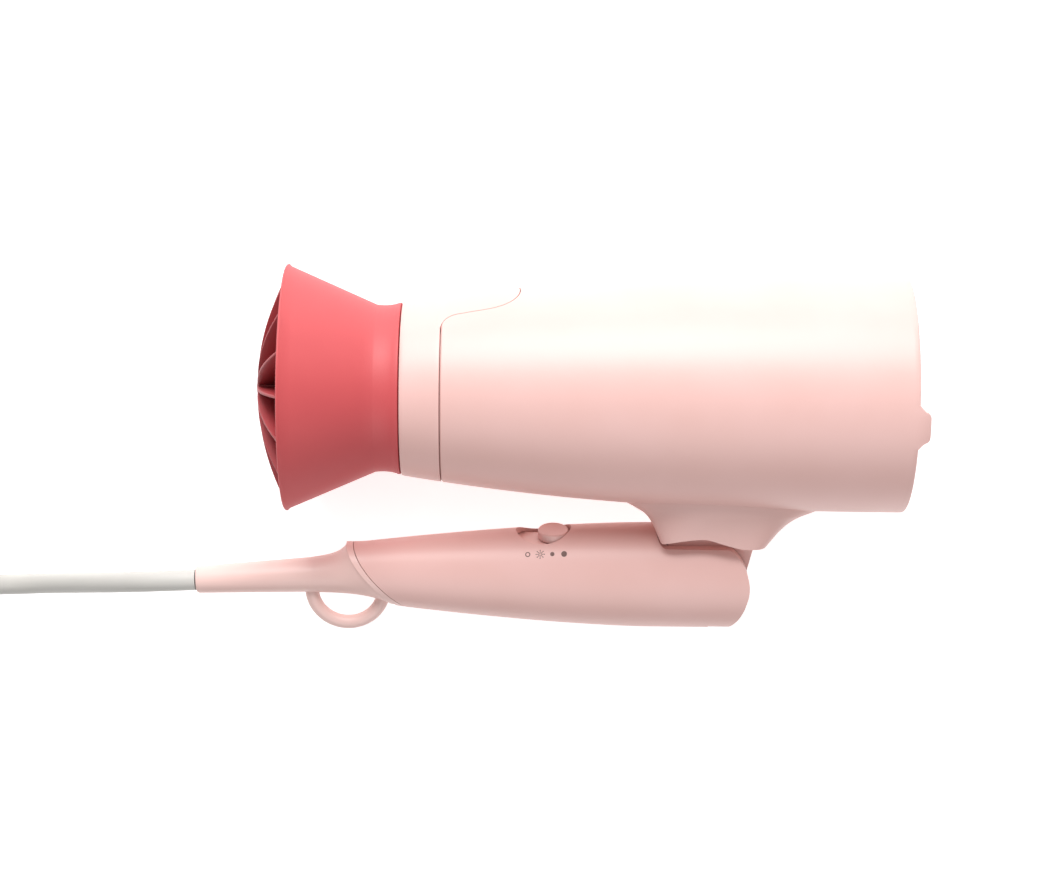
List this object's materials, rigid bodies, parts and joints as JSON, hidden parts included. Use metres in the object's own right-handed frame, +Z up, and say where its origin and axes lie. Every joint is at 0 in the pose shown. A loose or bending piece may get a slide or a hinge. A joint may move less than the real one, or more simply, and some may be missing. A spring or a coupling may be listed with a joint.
{
  "type": "hair dryer",
  "caption": "Folding hair dryer with a round barrel, bell nozzle, hinged handle with a slide switch, hanging loop and mains cord with plug.",
  "frame": {"origin": "under the middle of the dryer, on the surface that it lies on; the cord is not counted", "axes": "+X along the barrel towards the air inlet, +Y the dryer's top, away from the handle, +Z up, across the dryer"},
  "size_m": [0.4064, 0.1275, 0.0808],
  "materials": {
    "pale_pink": "fine satin moulded plastic",
    "cap_pink": "fine satin moulded plastic, paler",
    "coral": "smooth moulded plastic",
    "dark_coral": "moulded plastic",
    "cord_grey": "soft satin sheath",
    "black_plastic": "moulded plastic",
    "white_plastic": "heat-proof moulding",
    "mica": "flaked mica sheet",
    "steel": "plated",
    "brass": "plain",
    "heater_wire": "resistance wire",
    "board": "circuit board",
    "red_insulation": "wire insulation",
    "blue_insulation": "wire insulation"
  },
  "bodies": {
    "handle": {"handle_half_left": "pale_pink", "handle_half_right": "pale_pink", "handle_screw_1": "steel", "handle_screw_2": "steel", "end_cap": "cap_pink", "pivot_pin": "steel", "pivot_washer_1": "brass", "pivot_washer_2": "brass", "fold_plunger": "steel", "fold_spring": "steel", "switch_body": "black_plastic", "terminal_1": "brass", "terminal_2": "brass", "terminal_3": "brass", "cord_tail": "cord_grey", "cord_clamp": "black_plastic", "live_wire": "red_insulation", "neutral_wire": "blue_insulation", "hinge_lead": "black_plastic", "mains_cord": "cord_grey", "cord_coil": "cord_grey", "plug_lead": "cord_grey", "cord_tie": "black_plastic", "plug_body": "cord_grey", "plug_pin_1": "brass", "plug_pin_2": "brass"},
    "barrel": {"main_housing": "pale_pink", "front_cover": "pale_pink", "outlet_grille": "black_plastic", "heat_shield": "mica", "mica_plate_upright": "mica", "mica_plate_level": "mica", "heater_coil_1": "heater_wire", "heater_coil_2": "heater_wire", "thermostat": "steel", "thermal_fuse": "white_plastic", "fan_duct": "white_plastic", "duct_screw_1": "steel", "duct_screw_2": "steel", "duct_screw_3": "steel", "motor": "steel", "rectifier_board": "board", "diode_1": "black_plastic", "diode_2": "black_plastic", "diode_3": "black_plastic", "diode_4": "black_plastic", "barrel_lead": "black_plastic"},
    "nozzle": {"nozzle_bell": "coral", "nozzle_grille": "dark_coral"},
    "inlet": {"inlet_grille": "coral", "dust_filter": "black_plastic"},
    "fan": {"motor_shaft": "steel", "impeller": "black_plastic"},
    "switch": {"switch_knob": "pale_pink", "switch_plate": "cap_pink", "contact_bridge": "brass"}
  },
  "joints": [
    {"name": "handle_fold", "type": "hinge", "parent": "handle", "child": "barrel", "pos_m": [0.04988, -0.042, 0.0404], "axis": [0, 0, -1], "range_deg": [0, 90]},
    {"name": "switch_slide", "type": "slide", "parent": "handle", "child": "switch", "axis": [-1, 0, 0], "range_m": [0, 0.0068]},
    {"name": "nozzle_pull", "type": "slide", "parent": "barrel", "child": "nozzle", "axis": [-1, 0, 0], "range_m": [0, 0.03]},
    {"name": "inlet_pull", "type": "slide", "parent": "barrel", "child": "inlet", "axis": [1, 0, 0], "range_m": [0, 0.02]},
    {"name": "fan_spin", "type": "hinge", "parent": "barrel", "child": "fan", "pos_m": [0.05088, 0.022, 0.0404], "axis": [1, 0, 0], "continuous": true}
  ]
}
